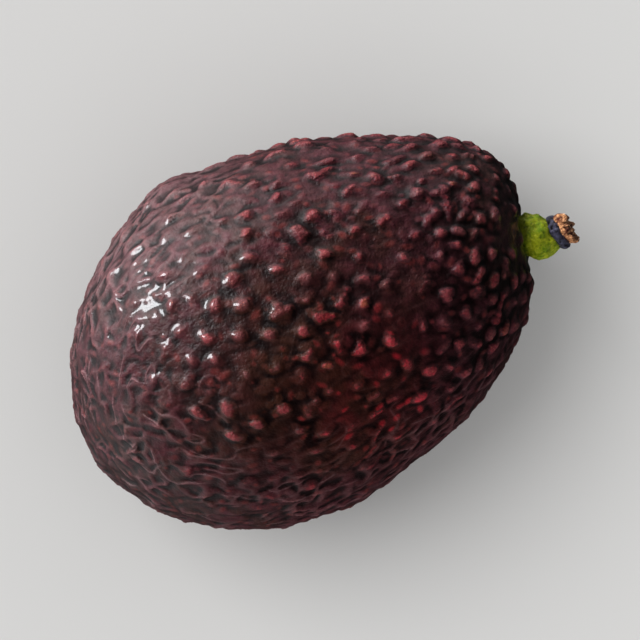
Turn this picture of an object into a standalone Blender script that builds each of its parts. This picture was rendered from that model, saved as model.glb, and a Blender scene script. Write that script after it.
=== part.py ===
"""A whole Hass avocado as picked, lying on its side with the short broken stem still attached.

Two solids: `fruit`, a blunt egg with an oblique shouldered neck, and `stem`, a swollen button
with a narrow collar and a broken woody tip. +X runs along the fruit toward the stem and +Z is up.
The origin is the centre of the small flat spot that the fruit rests on.
"""

import math

import bmesh
import bpy
from mathutils import Vector

MM = 0.001

# Fruit, in millimetres about the middle of its length.
HALF_LENGTH = 46.0
MIDDLE_X = 0.85
WIDTH = (33.8, -5.6, -0.3, 6.4, 2.0)  # half width along the length: powers of c, c from -1 to 1
SIDEWAYS = (-0.2, 1.1, -0.1, 0.6)  # the middle line's drift in y, powers of c
SHOULDER = 6.4  # how far the neck end leans to +Y
DROOP = (-2.8, 3.2)  # the middle line in z: c and c cubed
HEIGHT_SHARE = 0.965  # height of a cross-section over its width
DETAIL = 5  # icosphere subdivisions

# Soft bulges: the direction of each one's centre on the unit sphere, its spread, its height.
BULGES = (
    ((-0.30, 0.95, 0.10), 0.17, 1.15),
    ((0.00, 0.99, 0.05), 0.22, -0.75),
    ((0.30, 0.93, 0.20), 0.30, 0.45),
    ((-0.55, 0.35, 0.76), 0.30, 0.50),
    ((0.10, -0.35, 0.93), 0.34, 0.40),
    ((0.45, 0.25, 0.86), 0.25, -0.45),
    ((-0.75, -0.55, 0.37), 0.28, 0.50),
    ((-0.20, -0.85, 0.49), 0.26, -0.35),
    ((0.55, -0.70, 0.45), 0.28, 0.50),
    ((-0.60, 0.55, -0.58), 0.30, 0.45),
    ((0.35, -0.60, -0.72), 0.30, -0.40),
    ((0.50, 0.60, -0.62), 0.28, 0.45),
    ((-0.92, 0.38, 0.00), 0.28, -0.80),
    ((-0.74, 0.66, 0.05), 0.26, -0.50),
    ((0.76, -0.65, 0.10), 0.22, -0.70),
)

# The rest spot: where it lies under the fruit, and how far it is cut into the belly.
REST_X, REST_Y = -1.2, -0.1
REST_DEPTH = 0.6

# Stem: its foot on the neck, the way it points, and its turned profile (radius, distance out).
STEM_FOOT = (45.25, -1.1, 2.6)
STEM_TURN = math.radians(-10.0)  # about z: toward -Y
STEM_RISE = math.radians(9.0)  # above level
STEM_ROOT = -2.6
STEM_PROFILE = (
    (0.0, 8.7),
    (1.5, 8.8),
    (2.6, 8.3),
    (3.05, 7.4),
    (3.05, 6.5),
    (3.25, 5.8),
    (3.5, 5.2),
    (3.6, 4.6),
    (4.05, 3.7),
    (4.45, 2.5),
    (4.6, 1.3),
    (4.3, 0.2),
    (3.5, -0.9),
    (2.8, -1.7),
    (2.2, STEM_ROOT),
    (0.0, STEM_ROOT),
)
STEM_STEPS = 36
SOCKET_GAP = 0.3
DIMPLE_DEPTH, DIMPLE_REACH = 1.1, 7.5


def clear():
    for obj in list(bpy.data.objects):
        bpy.data.objects.remove(obj, do_unlink=True)
    for group in list(bpy.data.collections):
        bpy.data.collections.remove(group)


def collection(name, hidden=False):
    made = bpy.data.collections.new(name)
    made.hide_render = hidden
    bpy.context.scene.collection.children.link(made)
    return made


def material(name, colour, roughness):
    made = bpy.data.materials.new(name)
    made.use_nodes = True
    made.diffuse_color = (*colour, 1.0)
    shader = made.node_tree.nodes["Principled BSDF"]
    shader.inputs["Base Color"].default_value = (*colour, 1.0)
    shader.inputs["Roughness"].default_value = roughness
    return made


def power_sum(factors, c):
    return sum(k * c**i for i, k in enumerate(factors))


def stem_axis():
    return Vector(
        (
            math.cos(STEM_RISE) * math.cos(STEM_TURN),
            math.cos(STEM_RISE) * math.sin(STEM_TURN),
            math.sin(STEM_RISE),
        )
    )


def skin(direction):
    """The point of the fruit's surface, in mm, for a direction on the unit sphere."""
    c = direction.x
    width = power_sum(WIDTH, c)
    point = Vector(
        (
            MIDDLE_X + HALF_LENGTH * c,
            power_sum(SIDEWAYS, c) + SHOULDER * max(c, 0.0) ** 8 + width * direction.y,
            DROOP[0] * c + DROOP[1] * c**3 + HEIGHT_SHARE * width * direction.z,
        )
    )
    lift = 0.0
    for centre, spread, height in BULGES:
        away = (direction - Vector(centre).normalized()).length
        lift += height * math.exp(-((away / spread) ** 2))
    point += direction * lift
    # The skin dips in a shallow ring where the stem comes out.
    reach = (point - Vector(STEM_FOOT)).length / DIMPLE_REACH
    if reach < 1.0:
        point -= stem_axis() * DIMPLE_DEPTH * (0.5 + 0.5 * math.cos(math.pi * reach))
    return point


def rest_height():
    """The height of the rest spot before the fruit is moved down onto z = 0."""
    low = 1e9
    for i in range(-40, 41):
        for j in range(-20, 21):
            d = Vector((i / 100, j / 100, -1.0)).normalized()
            low = min(low, skin(d).z)
    return low + REST_DEPTH


def to_row(point, ground):
    return (point - Vector((REST_X, REST_Y, ground))) * MM


def make_fruit(group, look, ground):
    mesh = bpy.data.meshes.new("fruit")
    obj = bpy.data.objects.new("fruit", mesh)
    group.objects.link(obj)
    bm = bmesh.new()
    bmesh.ops.create_icosphere(bm, subdivisions=DETAIL, radius=1.0)
    for vert in bm.verts:
        vert.co = to_row(skin(vert.co.normalized()), ground)
    # The flat spot: everything under z = 0 is cut off, and the hole closed by one flat face.
    cut = bmesh.ops.bisect_plane(
        bm,
        geom=bm.verts[:] + bm.edges[:] + bm.faces[:],
        dist=1e-7,
        plane_co=(0.0, 0.0, 0.0),
        plane_no=(0.0, 0.0, -1.0),
        clear_outer=True,
    )
    rim = [e for e in cut["geom_cut"] if isinstance(e, bmesh.types.BMEdge)]
    for edge in rim:
        edge.smooth = False
    bmesh.ops.edgeloop_fill(bm, edges=rim)
    bmesh.ops.recalc_face_normals(bm, faces=bm.faces[:])
    for face in bm.faces:
        face.smooth = len(face.verts) < 8
    bm.to_mesh(mesh)
    bm.free()
    mesh.materials.append(look)
    return obj


def place_on_neck(obj, ground):
    """Turns an object's own +Z to the stem's direction and puts its origin at the stem's foot."""
    obj.rotation_mode = "QUATERNION"
    obj.rotation_quaternion = stem_axis().to_track_quat("Z", "Y")
    obj.location = to_row(Vector(STEM_FOOT), ground)


def turned(name, group, profile, ground):
    mesh = bpy.data.meshes.new(name)
    mesh.from_pydata(
        [(r * MM, 0.0, z * MM) for r, z in profile],
        [(i, i + 1) for i in range(len(profile) - 1)],
        [],
    )
    obj = bpy.data.objects.new(name, mesh)
    group.objects.link(obj)
    screw = obj.modifiers.new("turn", "SCREW")
    screw.axis = "Z"
    screw.steps = STEM_STEPS
    screw.render_steps = STEM_STEPS
    screw.use_merge_vertices = True
    screw.merge_threshold = 0.00001
    screw.use_smooth_shade = True
    place_on_neck(obj, ground)
    return obj


def make_stem(group, look, ground):
    obj = turned("stem", group, STEM_PROFILE, ground)
    obj.data.materials.append(look)
    return obj


def cut_socket(fruit, helpers, ground):
    """The neck is hollowed out round the stem's root, with an even gap."""
    inner = [(r, z) for r, z in STEM_PROFILE if z < 4.0 and r > 0.0]
    grown = [(0.0, 6.0), (inner[0][0] + 1.2, 6.0)]
    grown += [(r + SOCKET_GAP, z) for r, z in inner[:-1]]
    grown += [
        (inner[-1][0] + SOCKET_GAP, STEM_ROOT - SOCKET_GAP),
        (0.0, STEM_ROOT - SOCKET_GAP),
    ]
    cutter = turned("socket_cutter", helpers, grown, ground)
    cutter.hide_render = True
    cutter.display_type = "WIRE"
    cut = fruit.modifiers.new("socket", "BOOLEAN")
    cut.operation = "DIFFERENCE"
    cut.solver = "EXACT"
    cut.object = cutter
    bpy.context.view_layer.update()


def main():
    clear()
    group = collection("avocado")
    helpers = collection("helpers", hidden=True)
    skin_look = material("skin", (0.030, 0.014, 0.016), 0.42)
    stem_look = material("stem_wood", (0.20, 0.24, 0.035), 0.6)
    ground = rest_height()
    fruit = make_fruit(group, skin_look, ground)
    make_stem(group, stem_look, ground)
    cut_socket(fruit, helpers, ground)


main()
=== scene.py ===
"""Avocado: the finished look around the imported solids.

The skin is one dense mesh with its warts, ridges and wrinkles modelled, and the stem is a warty
button with a dark ring and a torn woody tip. Everything is in the row frame, in metres.
"""

import math
import random

import bpy
import numpy as np
from mathutils import Matrix, Vector, kdtree, noise


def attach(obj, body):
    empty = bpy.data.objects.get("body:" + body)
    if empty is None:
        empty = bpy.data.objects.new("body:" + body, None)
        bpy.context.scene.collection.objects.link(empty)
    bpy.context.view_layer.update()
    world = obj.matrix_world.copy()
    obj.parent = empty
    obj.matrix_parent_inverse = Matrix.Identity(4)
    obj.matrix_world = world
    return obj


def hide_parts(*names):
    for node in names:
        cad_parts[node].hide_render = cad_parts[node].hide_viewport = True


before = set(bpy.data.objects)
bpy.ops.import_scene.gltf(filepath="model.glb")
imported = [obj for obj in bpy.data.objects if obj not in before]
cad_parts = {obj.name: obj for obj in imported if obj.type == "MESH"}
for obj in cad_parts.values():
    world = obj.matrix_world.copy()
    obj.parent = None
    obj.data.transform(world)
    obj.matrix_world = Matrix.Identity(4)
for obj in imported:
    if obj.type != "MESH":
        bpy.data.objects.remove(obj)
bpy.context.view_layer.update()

MM = 0.001
RNG = random.Random(11)

# ---------------------------------------------------------------- the fruit's form, as the CAD has it

HALF_LENGTH = 46.0
MIDDLE_X = 0.85
WIDTH = (33.8, -5.6, -0.3, 6.4, 2.0)
SIDEWAYS = (-0.2, 1.1, -0.1, 0.6)
SHOULDER = 6.4
DROOP = (-2.8, 3.2)
HEIGHT_SHARE = 0.965
BULGES = (
    ((-0.30, 0.95, 0.10), 0.17, 1.15),
    ((0.00, 0.99, 0.05), 0.22, -0.75),
    ((0.30, 0.93, 0.20), 0.30, 0.45),
    ((-0.55, 0.35, 0.76), 0.30, 0.50),
    ((0.10, -0.35, 0.93), 0.34, 0.40),
    ((0.45, 0.25, 0.86), 0.25, -0.45),
    ((-0.75, -0.55, 0.37), 0.28, 0.50),
    ((-0.20, -0.85, 0.49), 0.26, -0.35),
    ((0.55, -0.70, 0.45), 0.28, 0.50),
    ((-0.60, 0.55, -0.58), 0.30, 0.45),
    ((0.35, -0.60, -0.72), 0.30, -0.40),
    ((0.50, 0.60, -0.62), 0.28, 0.45),
    ((-0.92, 0.38, 0.00), 0.28, -0.80),
    ((-0.74, 0.66, 0.05), 0.26, -0.50),
    ((0.76, -0.65, 0.10), 0.22, -0.70),
)
REST_X, REST_Y, REST_DEPTH = -1.2, -0.1, 0.6
STEM_FOOT = np.array((45.25, -1.1, 2.6))
STEM_TURN, STEM_RISE = math.radians(-10.0), math.radians(9.0)
STEM_AXIS = np.array(
    (
        math.cos(STEM_RISE) * math.cos(STEM_TURN),
        math.cos(STEM_RISE) * math.sin(STEM_TURN),
        math.sin(STEM_RISE),
    )
)
DIMPLE_DEPTH, DIMPLE_REACH = 1.1, 7.5


def unit(v):
    return v / np.linalg.norm(v, axis=-1, keepdims=True)


def power_sum(factors, c):
    return sum(k * c**i for i, k in enumerate(factors))


def skin(d):
    """Points of the smooth surface, in mm about the middle of the fruit, for unit directions."""
    c = d[:, 0]
    width = power_sum(WIDTH, c)
    p = np.stack(
        (
            MIDDLE_X + HALF_LENGTH * c,
            power_sum(SIDEWAYS, c)
            + SHOULDER * np.maximum(c, 0.0) ** 8
            + width * d[:, 1],
            DROOP[0] * c + DROOP[1] * c**3 + HEIGHT_SHARE * width * d[:, 2],
        ),
        axis=1,
    )
    lift = np.zeros(len(d))
    for centre, spread, height in BULGES:
        away = np.linalg.norm(d - unit(np.array(centre)), axis=1)
        lift += height * np.exp(-((away / spread) ** 2))
    p += d * lift[:, None]
    reach = np.linalg.norm(p - STEM_FOOT, axis=1) / DIMPLE_REACH
    dip = DIMPLE_DEPTH * (0.5 + 0.5 * np.cos(np.pi * np.minimum(reach, 1.0)))
    return p - STEM_AXIS * dip[:, None]


def ground_height():
    grid = [(i / 100, j / 100, -1.0) for i in range(-40, 41) for j in range(-20, 21)]
    return skin(unit(np.array(grid)))[:, 2].min() + REST_DEPTH


GROUND = ground_height()
SHIFT = np.array((REST_X, REST_Y, GROUND))

# ---------------------------------------------------------------- small helpers


def smooth(x, low, high):
    t = np.clip((x - low) / (high - low), 0.0, 1.0)
    return t * t * (3 - 2 * t)


def noise_at(points, scale, seed, octaves=1):
    """Perlin noise, about -1 to 1, at points in mm. scale is the size of its features in mm."""
    off = Vector((seed * 17.3, seed * -9.1, seed * 5.7))
    out = np.empty(len(points))
    if octaves == 1:
        for i, p in enumerate((points / scale).tolist()):
            out[i] = noise.noise(Vector(p) + off)
    else:
        for i, p in enumerate((points / scale).tolist()):
            out[i] = noise.fractal(Vector(p) + off, 1.0, 2.0, octaves)
    return out


def tree_of(points):
    tree = kdtree.KDTree(len(points))
    for i, p in enumerate(points.tolist()):
        tree.insert(p, i)
    tree.balance()
    return tree


def nearest(tree, points, count):
    """(distances, indices) of the count nearest tree points to each point."""
    dist = np.full((len(points), count), 1e3)
    index = np.zeros((len(points), count), int)
    for i, p in enumerate(points.tolist()):
        for j, (_, k, away) in enumerate(tree.find_n(p, count)):
            dist[i, j], index[i, j] = away, k
    return dist, index


def scattered(points, spacing, seed, tries):
    """Indices of points chosen in random order so that none lies within its own spacing of another."""
    rng = np.random.default_rng(seed)
    order = rng.permutation(len(points))[:tries]
    cell = float(spacing.max())
    grid, kept = {}, []
    for i in order:
        p = points[i]
        key = tuple(np.floor(p / cell).astype(int))
        near = False
        for dx in (-1, 0, 1):
            for dy in (-1, 0, 1):
                for dz in (-1, 0, 1):
                    for k in grid.get((key[0] + dx, key[1] + dy, key[2] + dz), ()):
                        if np.dot(points[k] - p, points[k] - p) < spacing[i] ** 2:
                            near = True
        if not near:
            grid.setdefault(key, []).append(i)
            kept.append(i)
    return np.array(kept)


def mesh_object(name, points, faces, collection=None):
    mesh = bpy.data.meshes.new(name)
    mesh.from_pydata(points.tolist(), [], faces.tolist() if hasattr(faces, "tolist") else faces)
    mesh.polygons.foreach_set("use_smooth", [True] * len(mesh.polygons))
    obj = bpy.data.objects.new(name, mesh)
    bpy.context.scene.collection.objects.link(obj)
    return obj


def attribute(obj, name, values):
    made = obj.data.attributes.new(name, "FLOAT", "POINT")
    made.data.foreach_set("value", np.ascontiguousarray(values, np.float32))


# ---------------------------------------------------------------- the skin's mesh

SIDE = 128  # quads along a cube's edge


def cube_sphere(n):
    """Unit directions and quads of a sphere made from a cube's six faces, with each face's (u, v)."""
    line = np.tan(np.linspace(-math.pi / 4, math.pi / 4, n + 1))
    # x, y and z of (a, b) on each face; the order keeps every quad facing out
    sides = (
        lambda a, b: (1 + 0 * a, a, b),
        lambda a, b: (-1 + 0 * a, -a, b),
        lambda a, b: (-a, 1 + 0 * a, b),
        lambda a, b: (a, -1 + 0 * a, b),
        lambda a, b: (-b, a, 1 + 0 * a),
        lambda a, b: (b, a, -1 + 0 * a),
    )
    a, b = np.meshgrid(line, line, indexing="ij")
    points, faces, uvs = [], [], []
    for k, side in enumerate(sides):
        xyz = np.stack([np.broadcast_to(v, a.shape) for v in side(a, b)], axis=-1)
        points.append(xyz.reshape(-1, 3))
        i, j = np.meshgrid(np.arange(n), np.arange(n), indexing="ij")
        first = k * (n + 1) ** 2 + i * (n + 1) + j
        quad = np.stack((first, first + n + 1, first + n + 2, first + 1), axis=-1)
        faces.append(quad.reshape(-1, 4))
        # six charts in a 3 by 2 sheet with a margin between them
        s = np.stack(np.meshgrid(np.arange(n + 1) / n, np.arange(n + 1) / n, indexing="ij"), -1)
        corner = np.array(((k % 3) / 3, (k // 3) / 2))
        uvs.append((corner + 0.006 + s * np.array((1 / 3 - 0.012, 1 / 2 - 0.012))).reshape(-1, 2))
    points = unit(np.concatenate(points))
    faces, uvs = np.concatenate(faces), np.concatenate(uvs)
    _, first, index = np.unique(
        np.round(points * 1e6).astype(np.int64), axis=0, return_index=True, return_inverse=True
    )
    return points[first], index.reshape(-1)[faces], uvs[faces]


def vertex_normals(points, faces):
    a, b, c, d = (points[faces[:, i]] for i in range(4))
    n = np.cross(c - a, d - b)
    out = np.zeros_like(points)
    for i in range(4):
        np.add.at(out, faces[:, i], n)
    return unit(out)


def blurred(values, faces, rounds):
    """Values averaged with those of the neighbouring points, over and over."""
    ends = np.concatenate([faces[:, (i, (i + 1) % 4)] for i in range(4)])
    count = np.bincount(ends[:, 0], minlength=len(values))
    out = values.copy()
    for _ in range(rounds):
        around = np.bincount(ends[:, 0], weights=out[ends[:, 1]], minlength=len(values)) / count
        out = 0.5 * (out + around)
    return out


def steepness(values, points, faces):
    """How fast values change along the surface, per mm."""
    ends = np.concatenate([faces[:, (i, (i + 1) % 4)] for i in range(4)])
    apart = np.linalg.norm(points[ends[:, 0]] - points[ends[:, 1]], axis=1)
    change = np.abs(values[ends[:, 0]] - values[ends[:, 1]]) / apart
    out = np.zeros(len(values))
    for side in (0, 1):
        np.maximum.at(out, ends[:, side], change)
    return blurred(out, faces, 2)


def warts(points, centres, along, radius, height, stretch, sharp, count=5):
    """The height at each point of rounded bumps at the centres, how far up its bump the point is, and which bump."""
    tree = tree_of(centres)
    dist, index = nearest(tree, points, count)
    total = np.zeros(len(points))
    best, up = np.zeros(len(points)), np.zeros(len(points))
    owner = index[:, 0].copy()
    for j in range(count):
        k = index[:, j]
        away = points - centres[k]
        lengthwise = np.einsum("ij,ij->i", away, along[k])
        across = np.sqrt(np.maximum(np.einsum("ij,ij->i", away, away) - lengthwise**2, 0.0))
        t = np.sqrt((lengthwise / (radius[k] * stretch[k])) ** 2 + (across / radius[k]) ** 2)
        cap = np.where(t < 1, (1 - np.minimum(t, 1) ** 2) ** sharp, 0.0)
        lift = height[k] * cap
        total += lift**3
        owner = np.where(lift > best, k, owner)
        best = np.maximum(best, lift)
        up = np.maximum(up, cap)
    return np.cbrt(total), up, owner


def lobes(centres, normals, length, around, size, rng):
    """Each wart as one dome with smaller knobs on it, or as a short chain of domes: centre, radius, height and wart."""
    out = []
    for i, centre in enumerate(centres):
        big = size[i]
        radius, height = 0.80 + 0.90 * big, 0.27 + 0.54 * big
        turn = rng.normal(0.35, 0.55)
        way = length[i] * math.cos(turn) + around[i] * math.sin(turn)
        side = np.cross(normals[i], way)
        if rng.random() < 0.24:
            at = centre - way * radius * 0.9
            for step in range(rng.integers(2, 5)):
                share = 0.62 + 0.3 * rng.random()
                out.append((at, radius * share, height * share, i))
                at = at + way * radius * share * 1.15 + side * rng.normal(0, 0.28)
            continue
        out.append((centre, radius, height, i))
        for _ in range(int(rng.integers(1, 4 + int(2 * big)))):
            angle, reach = rng.random() * 2 * math.pi, radius * (0.35 + 0.5 * rng.random())
            spot = centre + (way * math.cos(angle) + side * math.sin(angle)) * reach
            share = 0.38 + 0.22 * rng.random()
            out.append((spot, radius * share, height * (1.02 - 0.35 * reach / radius), i))
    return (
        np.array([o[0] for o in out]),
        np.array([o[1] for o in out]),
        np.array([o[2] for o in out]),
        np.array([o[3] for o in out]),
    )


def build_skin():
    directions, faces, uvs = cube_sphere(SIDE)
    base = skin(directions)
    normals = vertex_normals(base, faces)
    rng = np.random.default_rng(5)
    x = base[:, 0]

    # Meridian direction: along the length, in the surface.
    length = np.array((1.0, 0.0, 0.0)) - normals * normals[:, :1]
    length = unit(length + 1e-6)
    around = np.cross(normals, length)

    blunt = smooth(-x, 2.0, 36.0)
    low_side = smooth(22.0 - (base[:, 2] - GROUND), 0.0, 30.0)
    sideways = smooth(np.abs(normals[:, 1]), 0.35, 0.95)
    neck = smooth(x, 12.0, 36.0)
    # Where the warts sink into the net: round the blunt end and down the -Y side.
    calm = smooth(-x, 14.0, 40.0) + 0.8 * smooth(-normals[:, 1], 0.50, 0.95)
    calm = np.clip(calm + 0.55 * smooth(6.0 - x, 0.0, 18.0) * smooth(base[:, 1], 9.0, 24.0), 0, 1)

    form = noise_at(base, 8.0, 1) * 0.42 + noise_at(base, 17.0, 2) * 0.35
    bump = form.copy()
    # A soft corner on the +Y side, where the blunt end begins.
    bump += 0.6 * np.exp(-(((x + 12.5) / 4.5) ** 2) - (base[:, 2] / 16.0) ** 2) * smooth(base[:, 1], 15.0, 30.0)
    warp = np.stack([noise_at(base, 3.4, s) for s in (3, 4, 5)], axis=1)

    # A net of thin raised lines round shallow cells, drawn out along the fruit.
    squeeze = np.array((1 / 1.55, 1.0, 1.0))
    room = 2.2 + 0.9 * smooth(noise_at(base, 11.0, 7), -0.4, 0.4)
    cell_seeds = scattered(base * squeeze, room, 21, 60000)
    near, _ = nearest(tree_of(base[cell_seeds] * squeeze), (base + warp * 1.6) * squeeze, 2)
    gap = near[:, 1] - near[:, 0]
    net_here = np.clip(0.10 + 0.90 * calm + 0.25 * low_side + 0.15 * sideways, 0, 1)
    net_here *= 1 - 0.45 * neck
    broken = smooth(noise_at(base, 4.0, 6), -0.25, 0.35)
    net = np.maximum(1 - gap / 1.2, 0.0) ** 1.3 * (0.05 + 0.95 * broken)
    bump += net * 0.46 * net_here
    bump -= smooth(gap, 0.5, 3.0) * 0.13 * net_here

    # Wrinkles that run along the fruit, with thin crests.
    ripple = np.stack((x / 7.0, base[:, 1] / 1.9, base[:, 2] / 1.9), axis=1)
    wrinkle = noise_at(ripple + warp * 0.28, 1.0, 8)
    bump += wrinkle * (0.09 + 0.16 * sideways + 0.05 * blunt)
    rims = np.clip(smooth(-x, 8.0, 36.0) + 0.55 * smooth(-normals[:, 1], 0.40, 0.90), 0, 1)
    # The folds run level round the fruit: their noise is drawn out along the level outline.
    turn = np.arctan2(base[:, 1], x / 1.3)
    climb = 30.0 * np.arcsin(np.clip(normals[:, 2], -1, 1))
    folds, folded = [], []
    for number, (drawn, size, seed) in enumerate(((3.2, 3.1, 14), (4.4, 2.6, 24))):
        ring = 36.0 / drawn
        flow = np.stack((ring * np.cos(turn), ring * np.sin(turn), climb), axis=1) + warp * 0.25
        field = noise_at(flow, size, seed)
        steep = steepness(field, base, faces)
        # the distance in mm from the fold's crest
        folds.append(np.clip(field / np.maximum(steep, 0.15), -3, 3))
        folded.append(smooth(noise_at(base, 5.5, seed + 1), -0.05, 0.35) * (0.10 + 0.90 * rims) * smooth(steep, 0.05, 0.16))
        crest = np.maximum(1 - np.abs(folds[-1]) / 0.62, 0.0)
        bump += crest * folded[-1] * 0.22
    bump += noise_at(base, 2.3, 9) * 0.09 + noise_at(base, 4.6, 10) * 0.16

    # Warts: knobbed domes and short chains, close together on the neck.
    spacing = 3.9 + 1.3 * smooth(noise_at(base, 13.0, 12), -0.2, 0.5) - 0.9 * neck - 0.3 * blunt
    chosen = scattered(base, spacing, 31, 40000)
    count = len(chosen)
    size = rng.beta(1.4, 1.9, count) * (1 - 0.35 * calm[chosen] - 0.15 * neck[chosen]) + 0.15 * neck[chosen]
    sunk = calm[chosen] * (0.60 + 0.38 * rng.random(count))
    at, radius, height, owner = lobes(
        base[chosen], normals[chosen], length[chosen], around[chosen], size, rng
    )
    height *= 1 - sunk[owner]
    along = length[chosen][owner] * 0.9 + around[chosen][owner] * rng.normal(0, 0.5, len(owner))[:, None]
    stretch = 1.0 + 0.35 * rng.random(len(owner)) + 0.9 * sideways[chosen][owner] * rng.random(len(owner))
    place = base + warp * 0.75
    lift, wart_up, nearest_lobe = warts(place, at, unit(along), radius, height, stretch, 1.05, 7)
    bump += lift
    swell, _, _ = warts(
        place, base[chosen], length[chosen], 1.9 + 1.6 * size, (0.12 + 0.28 * size) * (1 - 0.7 * sunk), 1.2 + 0 * size, 2.0, 3
    )
    bump += swell
    wart_owner = owner[nearest_lobe]

    # Small grains between the warts.
    small = scattered(base, np.full(len(base), 1.6), 41, 60000)
    small = small[rng.random(len(small)) < 0.62]
    count_small = len(small)
    turn = rng.normal(0.0, 0.8, count_small)
    along = length[small] * np.cos(turn)[:, None] + around[small] * np.sin(turn)[:, None]
    small_lift, small_up, small_owner = warts(
        base + warp * 0.3,
        base[small],
        along,
        0.55 + 0.55 * rng.random(count_small),
        (0.04 + 0.22 * rng.random(count_small) ** 1.6) * (1 - 0.5 * calm[small]),
        1 + rng.random(count_small),
        1.3,
        3,
    )
    bump += small_lift * (1 - 0.8 * smooth(lift, 0.05, 0.3))

    # Quiet skin round the stem.
    from_stem = np.linalg.norm(base - STEM_FOOT, axis=1)
    bump *= 0.25 + 0.75 * smooth(from_stem, 4.0, 9.0)
    standing = bump - blurred(bump, faces, 14)
    points = base + normals * (bump - 0.62)[:, None] - SHIFT

    # The rest spot is flat.
    low = points[:, 2]
    points[:, 2] = np.where(low < 0.35, 0.35 * smooth(low, -0.35, 1.05), low)
    points *= MM

    obj = mesh_object("avocado_skin", points, faces)
    layer = obj.data.uv_layers.new(name="OFBake")
    layer.data.foreach_set("uv", uvs.reshape(-1).astype(np.float32))

    attribute(obj, "wart", wart_up * smooth(lift, 0.05, 0.5))
    attribute(obj, "wart_tint", rng.random(count)[wart_owner])
    attribute(obj, "small_wart", small_up * (1 - smooth(wart_up, 0.0, 0.4)))
    attribute(obj, "small_tint", rng.random(count_small)[small_owner])
    attribute(obj, "net", net * net_here)
    attribute(obj, "standing", standing)
    for number in (0, 1):
        attribute(obj, f"fold_{number}", folds[number])
        attribute(obj, f"folded_{number}", folded[number])
    attribute(obj, "from_stem", from_stem)
    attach(obj, "root")
    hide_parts("fruit")
    print("skin", len(points), "points", count, "warts", len(owner), "lobes", count_small, "small", len(cell_seeds), "cells")
    return obj


# ---------------------------------------------------------------- node helpers


class Nodes:
    def __init__(self, name):
        self.material = bpy.data.materials.new(name)
        self.material.use_nodes = True
        self.tree = self.material.node_tree
        self.shader = self.tree.nodes["Principled BSDF"]

    def add(self, kind, **inputs):
        made = self.tree.nodes.new(kind)
        for key, value in inputs.items():
            self.put(made, key, value)
        return made

    def put(self, node, key, value):
        socket = node.inputs[key]
        if hasattr(value, "is_output"):
            self.tree.links.new(value, socket)
        else:
            socket.default_value = value

    def attr(self, name):
        made = self.tree.nodes.new("ShaderNodeAttribute")
        made.attribute_name = name
        return made.outputs["Fac"]

    def math(self, operation, a, b=0.0, c=None, clamp=False):
        made = self.tree.nodes.new("ShaderNodeMath")
        made.operation, made.use_clamp = operation, clamp
        for i, value in enumerate((a, b, c)):
            if value is None:
                continue
            if hasattr(value, "is_output"):
                self.tree.links.new(value, made.inputs[i])
            else:
                made.inputs[i].default_value = value
        return made.outputs[0]

    def span(self, value, low, high, to_low=0.0, to_high=1.0):
        made = self.tree.nodes.new("ShaderNodeMapRange")
        made.interpolation_type = "SMOOTHSTEP"
        self.tree.links.new(value, made.inputs["Value"])
        for key, number in zip(
            ("From Min", "From Max", "To Min", "To Max"), (low, high, to_low, to_high)
        ):
            made.inputs[key].default_value = number
        return made.outputs["Result"]

    def mix(self, share, a, b, blend="MIX"):
        made = self.tree.nodes.new("ShaderNodeMix")
        made.data_type, made.blend_type = "RGBA", blend
        made.clamp_factor = True
        for i, value in ((0, share), (6, a), (7, b)):
            if hasattr(value, "is_output"):
                self.tree.links.new(value, made.inputs[i])
            elif i == 0:
                made.inputs[i].default_value = value
            else:
                made.inputs[i].default_value = (*value, 1.0)
        return made.outputs[2]

    def noise(self, vector, scale, detail=3.0, rough=0.55, distortion=0.0):
        made = self.tree.nodes.new("ShaderNodeTexNoise")
        self.tree.links.new(vector, made.inputs["Vector"])
        made.inputs["Scale"].default_value = scale
        made.inputs["Detail"].default_value = detail
        made.inputs["Roughness"].default_value = rough
        made.inputs["Distortion"].default_value = distortion
        return made.outputs["Fac"]

    def voronoi(self, vector, scale, feature="F1", randomness=1.0):
        made = self.tree.nodes.new("ShaderNodeTexVoronoi")
        made.feature = feature
        self.tree.links.new(vector, made.inputs["Vector"])
        made.inputs["Scale"].default_value = scale
        made.inputs["Randomness"].default_value = randomness
        return made.outputs["Distance"]

    def object_mm(self):
        """Object coordinates in millimetres."""
        coordinates = self.tree.nodes.new("ShaderNodeTexCoord")
        made = self.tree.nodes.new("ShaderNodeVectorMath")
        made.operation = "SCALE"
        self.tree.links.new(coordinates.outputs["Object"], made.inputs[0])
        made.inputs["Scale"].default_value = 1000.0
        return made.outputs[0]

    def bump(self, height, distance_mm, strength=1.0, normal=None):
        made = self.tree.nodes.new("ShaderNodeBump")
        made.inputs["Strength"].default_value = strength
        made.inputs["Distance"].default_value = distance_mm * MM
        self.tree.links.new(height, made.inputs["Height"])
        if normal is not None:
            self.tree.links.new(normal, made.inputs["Normal"])
        return made.outputs["Normal"]


def srgb(r, g, b):
    def one(v):
        v /= 255
        return v / 12.92 if v <= 0.04045 else ((v + 0.055) / 1.055) ** 2.4

    return (one(r), one(g), one(b))


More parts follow.
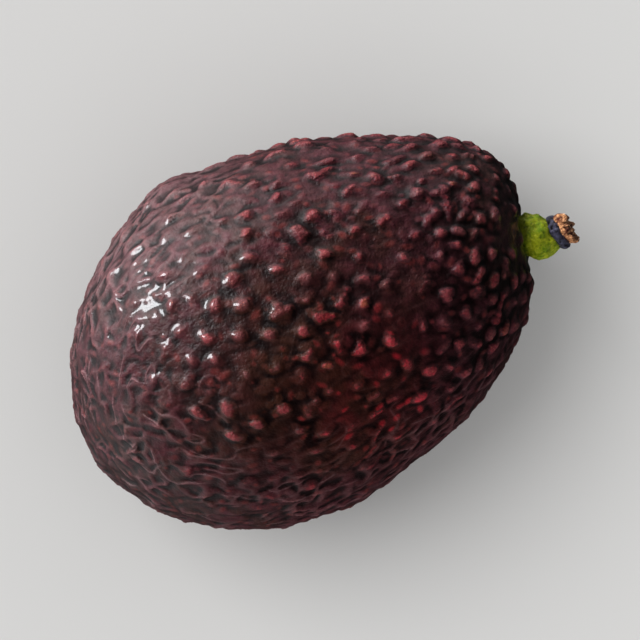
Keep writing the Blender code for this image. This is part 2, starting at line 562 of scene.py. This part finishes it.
def skin_material():
    m = Nodes("avocado_skin")
    at = m.object_mm()
    wart, tint = m.attr("wart"), m.attr("wart_tint")
    small, small_tint = m.attr("small_wart"), m.attr("small_tint")
    net, standing, from_stem = m.attr("net"), m.attr("standing"), m.attr("from_stem")
    lines = [
        m.math(
            "MULTIPLY",
            m.math("SUBTRACT", 1.0, m.math("DIVIDE", m.math("ABSOLUTE", m.attr(f"fold_{i}")), 0.34), clamp=True),
            m.attr(f"folded_{i}"),
        )
        for i in (0, 1)
    ]
    line = m.math("MAXIMUM", lines[0], lines[1])

    broad = m.noise(at, 0.055, 2.0, 0.5)
    patchy = m.noise(at, 0.22, 3.0, 0.55)
    fine = m.noise(at, 1.6, 4.0, 0.6)
    specks = m.noise(at, 3.4, 2.0, 0.5)

    ground = m.mix(m.span(broad, 0.42, 0.58), srgb(48, 18, 24), srgb(42, 20, 18))
    ground = m.mix(m.span(patchy, 0.38, 0.68), ground, srgb(60, 23, 31))
    ground = m.mix(m.span(fine, 0.40, 0.75, 0.0, 0.4), ground, srgb(68, 36, 32))
    # The middle of the upper side is browner.
    middle = m.add("ShaderNodeVectorMath")
    middle.operation = "DISTANCE"
    m.tree.links.new(at, middle.inputs[0])
    middle.inputs[1].default_value = (1.0, -11.0, 62.0)
    brown = m.math("MULTIPLY", m.span(middle.outputs["Value"], 32.0, 8.0), m.span(broad, 0.35, 0.6, 0.3, 0.85))
    ground = m.mix(brown, ground, srgb(46, 23, 13))

    # Painted sheen with a grey-violet bloom on the +Y side of the blunt end, the side toward the key light: greyer and
    # lighter there, partly standing for the key's haze on the skin.
    bloom_sheen_distance = m.add("ShaderNodeVectorMath")
    bloom_sheen_distance.operation = "DISTANCE"
    m.tree.links.new(at, bloom_sheen_distance.inputs[0])
    bloom_sheen_distance.inputs[1].default_value = (-19.0, 30.0, 40.0)
    bloom_and_painted_sheen = m.math("MULTIPLY", m.span(bloom_sheen_distance.outputs["Value"], 34.0, 8.0), m.span(fine, 0.30, 0.62, 0.14, 0.46))

    # The crimson side: on the -Y side of the neck half, fading out into the rest of that half.
    away = m.add("ShaderNodeVectorMath")
    away.operation = "DISTANCE"
    m.tree.links.new(at, away.inputs[0])
    away.inputs[1].default_value = (10.5, -14.0, 60.0)
    blotchy = m.span(m.noise(at, 0.17, 2.0), 0.36, 0.6, 0.25, 1.0)
    crimson = m.math("MULTIPLY", m.span(away.outputs["Value"], 20.0, 4.0), blotchy)
    rosy = m.span(away.outputs["Value"], 44.0, 12.0, 0.0, 0.45)

    tops = m.mix(m.span(tint, 0.1, 0.9), srgb(88, 20, 34), srgb(92, 27, 29))
    tops = m.mix(m.span(fine, 0.4, 0.75, 0.0, 0.7), tops, srgb(118, 40, 48))
    tops = m.mix(rosy, tops, srgb(116, 18, 36))
    tops = m.mix(crimson, tops, srgb(200, 18, 46))
    high = m.math("ADD", wart, m.span(fine, 0.3, 0.7, -0.22, 0.22))
    shown = m.math("MULTIPLY", m.span(high, 0.15, 1.05), m.span(tint, 0.1, 0.8, 0.2, 0.95))
    colour = m.mix(m.math("MULTIPLY", crimson, 0.4), ground, srgb(88, 10, 26))
    colour = m.mix(shown, colour, tops)
    tops_small = m.mix(crimson, srgb(92, 32, 30), srgb(184, 18, 40))
    shown_small = m.math(
        "MULTIPLY", m.span(small, 0.2, 1.0), m.span(small_tint, 0.3, 0.9, 0.0, 0.6)
    )
    colour = m.mix(shown_small, colour, tops_small)
    # Painted highlight: the net's raised lines paler, as the light they catch would make them.
    colour = m.mix(m.math("MULTIPLY", net, 0.26), colour, srgb(104, 74, 78))
    # Painted highlight: the fold lines' crests paler, standing for the gloss along them.
    colour = m.mix(m.math("MULTIPLY", line, 0.36), colour, srgb(136, 104, 108))
    # A few warts left olive, and small tan specks on the tops.
    olive = m.math("MULTIPLY", m.span(tint, 0.975, 0.985), m.span(wart, 0.4, 0.9, 0.0, 0.3))
    colour = m.mix(olive, colour, srgb(112, 90, 28))
    speck = m.math("MULTIPLY", m.span(specks, 0.62, 0.74, 0.0, 0.55), m.span(wart, 0.3, 0.8))
    colour = m.mix(speck, colour, srgb(170, 104, 76))
    # Painted shade: the skin darkened toward the stem's foot, in the dimple where the stem shades it.
    colour = m.mix(m.span(from_stem, 14.0, 5.0, 0.0, 0.75), colour, srgb(20, 10, 9))
    # Painted sheen with the bloom: greyer and lighter on the +Y side of the blunt end, toward the key light.
    colour = m.mix(bloom_and_painted_sheen, colour, srgb(92, 72, 74))
    # Painted highlight and painted shade: crests a little paler, hollows nearly black.
    colour = m.mix(m.span(standing, 0.07, 0.36, 0.0, 0.24), colour, srgb(132, 76, 78))
    colour = m.mix(m.span(standing, 0.04, -0.13, 0.0, 0.95), colour, srgb(11, 4, 5))

    m.put(m.shader, "Base Color", colour)
    rough = m.math("ADD", m.span(fine, 0.2, 0.8, 0.40, 0.52), m.math("MULTIPLY", wart, -0.06))
    m.put(m.shader, "Roughness", rough)
    m.shader.inputs["IOR"].default_value = 1.36
    m.shader.inputs["Coat Weight"].default_value = 0.50
    m.shader.inputs["Coat Roughness"].default_value = 0.10

    grain = m.noise(at, 2.2, 4.0, 0.62)
    knobs = m.noise(at, 1.15, 2.0, 0.5)
    height = m.math("ADD", m.math("MULTIPLY", grain, 0.55), m.math("MULTIPLY", knobs, m.span(wart, 0.1, 0.8, 0.5, 1.6)))
    ripples = m.noise(at, 0.75, 3.0, 0.55)
    first = m.bump(height, 0.30, 0.8, m.bump(ripples, 0.45, 0.8))
    # the fold lines' sharp crests
    m.put(m.shader, "Normal", m.bump(line, 0.16, 1.0, first))
    return m.material


# ---------------------------------------------------------------- the stem


def stem_matrix():
    z = Vector(STEM_AXIS.tolist())
    turn = z.to_track_quat("Z", "Y").to_matrix().to_4x4()
    place = Matrix.Translation(Vector(((STEM_FOOT - SHIFT) * MM).tolist()))
    return np.array(place @ turn)


def bent(pts):
    """The stem's centre line sways a little toward -Y (local x) and its upper end is cut obliquely."""
    out = pts.copy()
    z = pts[:, 2]
    out[:, 0] += -0.35 * smooth(z, -1.0, 2.5) + 0.15 * smooth(z, 4.0, 8.0)
    oblique = math.tan(math.radians(17.0)) * smooth(z, 2.0, 5.5)
    out[:, 2] -= pts[:, 0] * oblique
    return out


def lathe(name, profile, steps, rows, shape):
    """A turned closed body, in mm about the stem's foot, with its points moved by shape(points)."""
    profile = np.array(profile, float)
    gaps = np.r_[0, np.cumsum(np.linalg.norm(np.diff(profile, axis=0), axis=1))]
    t = np.linspace(0, gaps[-1], rows)
    r, z = np.interp(t, gaps, profile[:, 0]), np.interp(t, gaps, profile[:, 1])
    angle = np.arange(steps) * 2 * math.pi / steps
    ring = r[1:-1, None]
    level = np.broadcast_to(z[1:-1, None], (rows - 2, steps))
    pts = np.stack((ring * np.cos(angle), ring * np.sin(angle), level), axis=-1).reshape(-1, 3)
    pts = np.concatenate(([[0, 0, z[0]]], pts, [[0, 0, z[-1]]]))
    faces = []
    for i in range(steps):
        j = (i + 1) % steps
        faces.append((0, 1 + i, 1 + j))
        for k in range(rows - 3):
            a = 1 + k * steps
            faces.append((a + i, a + steps + i, a + steps + j, a + j))
        a = 1 + (rows - 3) * steps
        faces.append((a + j, a + i, len(pts) - 1))
    pts = bent(shape(pts))
    matrix = stem_matrix()
    obj = mesh_object(name, (pts * MM) @ matrix[:3, :3].T + matrix[:3, 3], faces)
    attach(obj, "root")
    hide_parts("stem")
    return obj


def outward(pts):
    flat = pts * np.array((1, 1, 0))
    return flat / np.maximum(np.linalg.norm(flat, axis=1, keepdims=True), 1e-6)


def build_stem():
    def button(pts):
        n = outward(pts)
        r = np.linalg.norm(pts[:, :2], axis=1)
        fade = smooth(r, 0.3, 2.8)
        lumps = noise_at(pts, 3.0, 51) * 0.55 + noise_at(pts, 1.5, 52) * 0.42
        lumps += noise_at(pts, 0.7, 53) * 0.14
        # fuller on the -Y side
        low = smooth(-pts[:, 0], -2.0, 4.0) * smooth(pts[:, 2], -0.5, 1.5) * (1 - smooth(pts[:, 2], 3.0, 5.0))
        lumps += low * 0.35 - 0.15
        rng = np.random.default_rng(8)
        for _ in range(46):
            turn, z = rng.random() * 2 * math.pi, rng.random() * 4.4
            spot = np.array((4.1 * math.cos(turn), 4.1 * math.sin(turn), z))
            away = np.linalg.norm(pts - spot, axis=1)
            lumps += (0.06 + 0.16 * rng.random()) * np.exp(-((away / (0.35 + 0.4 * rng.random())) ** 2))
        out = pts + n * (lumps * fade)[:, None]
        out[:, 2] += (0.45 * noise_at(pts, 1.8, 54) + 0.15 * noise_at(pts, 0.8, 55)) * smooth(pts[:, 2], 0.0, 2.5)
        return out

    green = lathe(
        "stem_button",
        (
            (0.0, 5.2), (1.8, 5.2), (2.5, 5.0), (3.0, 4.5), (3.45, 3.9), (3.85, 3.2), (4.1, 2.3),
            (4.2, 1.4), (4.1, 0.4), (3.6, -0.7), (2.8, -1.7), (2.2, -2.6), (0.0, -2.7),
        ),
        128,
        96,
        button,
    )

    def ring(pts):
        n = outward(pts)
        lumps = noise_at(pts, 2.0, 61) * 0.45 + noise_at(pts, 0.8, 62) * 0.22
        lumps += 0.45 * smooth(-pts[:, 0], 0.5, 3.0)
        out = pts + n * lumps[:, None]
        out[:, 2] += 0.35 * noise_at(pts * (1, 1, 0.2), 1.6, 63)
        return out

    dark = lathe(
        "stem_ring",
        (
            (0.0, 6.7), (2.0, 6.7), (2.5, 6.6), (2.85, 6.2), (2.95, 5.6), (2.8, 5.0),
            (2.3, 4.5), (0.0, 4.4),
        ),
        128,
        50,
        ring,
    )

    def tip(pts):
        n = outward(pts)
        angle = np.arctan2(pts[:, 1], pts[:, 0])
        r = np.linalg.norm(pts[:, :2], axis=1)
        grain = np.stack((np.cos(angle) * 5, np.sin(angle) * 5, pts[:, 2] * 0.3), 1)
        strands = noise_at(grain, 1.0, 71) + 0.6 * noise_at(grain * 2.1, 1.0, 74)
        bundle = np.stack((pts[:, 0], pts[:, 1], 0 * r), 1)
        torn = noise_at(bundle, 1.2, 72) + 0.8 * noise_at(bundle, 0.6, 75)
        top = smooth(pts[:, 2], 6.6, 8.0)
        out = pts + n * (strands * 0.34 * smooth(r, 0.4, 2.0))[:, None]
        out[:, 2] += top * (torn * 0.9 + 0.35 * noise_at(pts, 0.35, 73))
        out[:, :2] *= 1 + 0.06 * top[:, None]
        return out

    brown = lathe(
        "stem_tip",
        (
            (0.0, 8.2), (0.9, 8.25), (1.8, 8.15), (2.4, 7.9), (2.75, 7.4), (2.7, 6.8),
            (2.5, 6.2), (2.2, 5.8), (0.0, 5.7),
        ),
        160,
        110,
        tip,
    )
    return green, dark, brown


def button_material():
    m = Nodes("stem_green")
    at = m.object_mm()
    patchy = m.noise(at, 0.45, 3.0, 0.6)
    fine = m.noise(at, 1.8, 4.0, 0.65)
    colour = m.mix(m.span(patchy, 0.35, 0.65), srgb(98, 124, 8), srgb(144, 154, 18))
    colour = m.mix(m.span(fine, 0.5, 0.75, 0.0, 0.7), colour, srgb(186, 186, 62))
    # Painted shade: darker green in the low ground of the fine bumps, the crevices.
    colour = m.mix(m.span(fine, 0.46, 0.30, 0.0, 0.85), colour, srgb(56, 70, 4))
    m.put(m.shader, "Base Color", colour)
    m.put(m.shader, "Roughness", m.span(fine, 0.3, 0.7, 0.6, 0.42))
    m.shader.inputs["IOR"].default_value = 1.45
    m.put(m.shader, "Normal", m.bump(fine, 0.35, 0.8))
    return m.material


def ring_material():
    m = Nodes("stem_dark")
    at = m.object_mm()
    fine = m.noise(at, 1.5, 4.0, 0.6)
    colour = m.mix(m.span(fine, 0.35, 0.7), srgb(14, 11, 16), srgb(66, 66, 86))
    m.put(m.shader, "Base Color", colour)
    m.put(m.shader, "Roughness", m.span(fine, 0.3, 0.7, 0.5, 0.3))
    m.put(m.shader, "Normal", m.bump(fine, 0.3, 0.7))
    return m.material


def tip_material():
    m = Nodes("stem_torn_wood")
    at = m.object_mm()
    fibres = m.noise(at, 2.0, 4.0, 0.7, 0.6)
    colour = m.mix(m.span(fibres, 0.36, 0.62), srgb(82, 36, 26), srgb(206, 150, 104))
    colour = m.mix(m.span(fibres, 0.60, 0.72), colour, srgb(236, 206, 170))
    colour = m.mix(m.span(m.noise(at, 0.9, 2.0), 0.50, 0.62, 0.0, 0.9), colour, srgb(70, 26, 24))
    m.put(m.shader, "Base Color", colour)
    m.put(m.shader, "Roughness", m.span(fibres, 0.3, 0.7, 0.8, 0.6))
    m.put(m.shader, "Normal", m.bump(fibres, 0.4, 0.9))
    return m.material


# ---------------------------------------------------------------- floor, light and camera


def build_floor():
    m = Nodes("floor")
    at = m.object_mm()
    mottled = m.noise(at, 0.02, 3.0, 0.5)
    m.put(m.shader, "Base Color", m.mix(mottled, (0.64, 0.635, 0.625), (0.66, 0.655, 0.645)))
    m.shader.inputs["Roughness"].default_value = 0.85
    m.shader.inputs["Specular IOR Level"].default_value = 0.2
    steps = 96
    rings = [(0.0, 0.0), (0.3, 0.0), (1.0, 0.0), (2.5, 0.0)]
    pts, faces = [(0.0, 0.0, 0.0)], []
    for r, z in rings[1:]:
        pts += [(r * math.cos(2 * math.pi * i / steps), r * math.sin(2 * math.pi * i / steps), z) for i in range(steps)]
    for i in range(steps):
        j = (i + 1) % steps
        faces.append((0, 1 + i, 1 + j))
        for k in range(len(rings) - 2):
            a = 1 + k * steps
            faces.append((a + i, a + steps + i, a + steps + j, a + j))
    floor = mesh_object("floor", np.array(pts), faces)
    floor.data.materials.append(m.material)
    floor.visible_glossy = False
    return floor


# The picture's right is this far round from the fruit's length, and the camera looks almost straight down.
ROLL = math.radians(23.0)
RIGHT = Vector((math.cos(ROLL), -math.sin(ROLL), 0.0))
UP = Vector((math.sin(ROLL), math.cos(ROLL), 0.0))
TILT = Vector((0.045, 0.05, 1.0)).normalized()
TARGET = Vector((0.0052, -0.0006, 0.031))


def build_camera():
    data = bpy.data.cameras.new("camera")
    data.sensor_width = 36.0
    data.lens = 219.0
    data.clip_start, data.clip_end = 0.01, 20.0
    obj = bpy.data.objects.new("camera", data)
    bpy.context.scene.collection.objects.link(obj)
    obj.location = TARGET + TILT * 0.72
    back = TILT
    up = (UP - back * UP.dot(back)).normalized()
    right = up.cross(back)
    obj.rotation_mode = "QUATERNION"
    obj.rotation_quaternion = Matrix((right, up, back)).transposed().to_quaternion()
    bpy.context.scene.camera = obj
    return obj


def softbox(name, azimuth, elevation, distance, width, height, watts, colour=(1, 1, 1)):
    """An area light. Azimuth is measured in the picture from its right, counterclockwise, in degrees."""
    data = bpy.data.lights.new(name, "AREA")
    data.shape, data.size, data.size_y = "RECTANGLE", width, height
    data.energy, data.color = watts, colour
    obj = bpy.data.objects.new(name, data)
    bpy.context.scene.collection.objects.link(obj)
    a, e = math.radians(azimuth), math.radians(elevation)
    way = RIGHT * math.cos(a) * math.cos(e) + UP * math.sin(a) * math.cos(e) + Vector((0, 0, math.sin(e)))
    obj.location = Vector((0, 0, 0.03)) + way * distance
    obj.rotation_mode = "QUATERNION"
    obj.rotation_quaternion = way.to_track_quat("Z", "Y")
    return obj


def sun(name, azimuth, elevation, spread, strength):
    """A soft light of the same strength everywhere. Its azimuth is measured as a softbox's."""
    data = bpy.data.lights.new(name, "SUN")
    data.angle, data.energy = math.radians(spread), strength
    obj = bpy.data.objects.new(name, data)
    bpy.context.scene.collection.objects.link(obj)
    a, e = math.radians(azimuth), math.radians(elevation)
    way = RIGHT * math.cos(a) * math.cos(e) + UP * math.sin(a) * math.cos(e) + Vector((0, 0, math.sin(e)))
    obj.location = way
    obj.rotation_mode = "QUATERNION"
    obj.rotation_quaternion = way.to_track_quat("Z", "Y")
    return obj


def build_world():
    """Soft white surroundings. What the skin mirrors is bright at eye level on the key's side and dark elsewhere."""
    world = bpy.data.worlds.new("studio")
    world.use_nodes = True
    tree = world.node_tree
    back = tree.nodes["Background"]
    new, link = tree.nodes.new, tree.links.new

    def span(value, low, high, to_low, to_high):
        made = new("ShaderNodeMapRange")
        made.interpolation_type = "SMOOTHSTEP"
        link(value, made.inputs["Value"])
        for key, number in zip(("From Min", "From Max", "To Min", "To Max"), (low, high, to_low, to_high)):
            made.inputs[key].default_value = number
        return made.outputs[0]

    def pick(share, a, b):
        made = new("ShaderNodeMix")
        made.data_type = "FLOAT"
        for i, value in ((0, share), (2, a), (3, b)):
            if hasattr(value, "is_output"):
                link(value, made.inputs[i])
            else:
                made.inputs[i].default_value = value
        return made.outputs[0]

    way = new("ShaderNodeTexCoord")
    parts = new("ShaderNodeSeparateXYZ")
    link(way.outputs["Generated"], parts.inputs[0])
    toward = new("ShaderNodeVectorMath")
    toward.operation = "DOT_PRODUCT"
    link(way.outputs["Generated"], toward.inputs[0])
    toward.inputs[1].default_value = tuple(-RIGHT * 0.95 + UP * 0.30)
    both = new("ShaderNodeMath")
    both.operation = "MULTIPLY"
    band = new("ShaderNodeMath")
    band.operation = "MULTIPLY"
    link(span(parts.outputs["Z"], -0.05, 0.45, 1.0, 0.10), band.inputs[0])
    link(span(parts.outputs["Z"], -0.90, -0.20, 0.12, 1.0), band.inputs[1])
    link(band.outputs[0], both.inputs[0])
    link(span(toward.outputs["Value"], -0.7, 0.9, WORLD_FAR, WORLD_NEAR), both.inputs[1])
    ray = new("ShaderNodeLightPath")
    strength = pick(ray.outputs["Is Glossy Ray"], WORLD_SOFT, both.outputs[0])
    strength = pick(ray.outputs["Is Camera Ray"], strength, 0.75)
    link(strength, back.inputs["Strength"])
    back.inputs["Color"].default_value = (0.97, 0.98, 1.0, 1.0)
    if hasattr(world, "cycles"):
        world.cycles.sampling_method = "NONE"
    bpy.context.scene.world = world


WORLD_FAR, WORLD_NEAR, WORLD_SOFT = 0.03, 0.70, 0.18


def lights_only(light, objects):
    """The light falls on these objects and no others."""
    group = bpy.data.collections.new(light.name + "_on")
    for obj in objects:
        group.objects.link(obj)
    light.light_linking.receiver_collection = group


def build_light(fruit, floor):
    """One low key from the picture's upper left, with a higher and softer twin for the floor's shadow."""
    glint = softbox("glint", 152, 22, 0.9, 0.27, 0.27, 7.5, (0.94, 0.97, 1.0))
    glint.visible_diffuse = False
    sheen = softbox("sheen", 124, 10, 0.9, 1.1, 0.60, 1.7, (1.0, 0.99, 0.98))
    sheen.visible_diffuse = False
    key = softbox("key", 132, 22, 0.38, 0.26, 0.26, 4.7, (1.0, 0.985, 0.97))
    low = softbox("low_fill", -100, 24, 1.0, 0.90, 0.60, 11.0, (1.0, 0.98, 0.96))
    for light in (glint, sheen, key, low):
        lights_only(light, fruit)
    for light in (key, low):
        light.visible_glossy = False
    high = sun("floor_key", 150, 58, 42.0, 1.60)
    over = sun("floor_fill", 0, 90, 110.0, 1.40)
    for light in (high, over):
        light.visible_glossy = False
        lights_only(light, [floor])
    for light in (glint, sheen, key, low, high, over):
        light.visible_camera = False
    build_world()


def main():
    fruit = build_skin()
    fruit.data.materials.append(skin_material())
    green, dark, brown = build_stem()
    green.data.materials.append(button_material())
    dark.data.materials.append(ring_material())
    brown.data.materials.append(tip_material())
    floor = build_floor()
    build_camera()
    build_light([fruit, green, dark, brown], floor)
    bpy.context.scene.view_settings.view_transform = "Standard"


main()
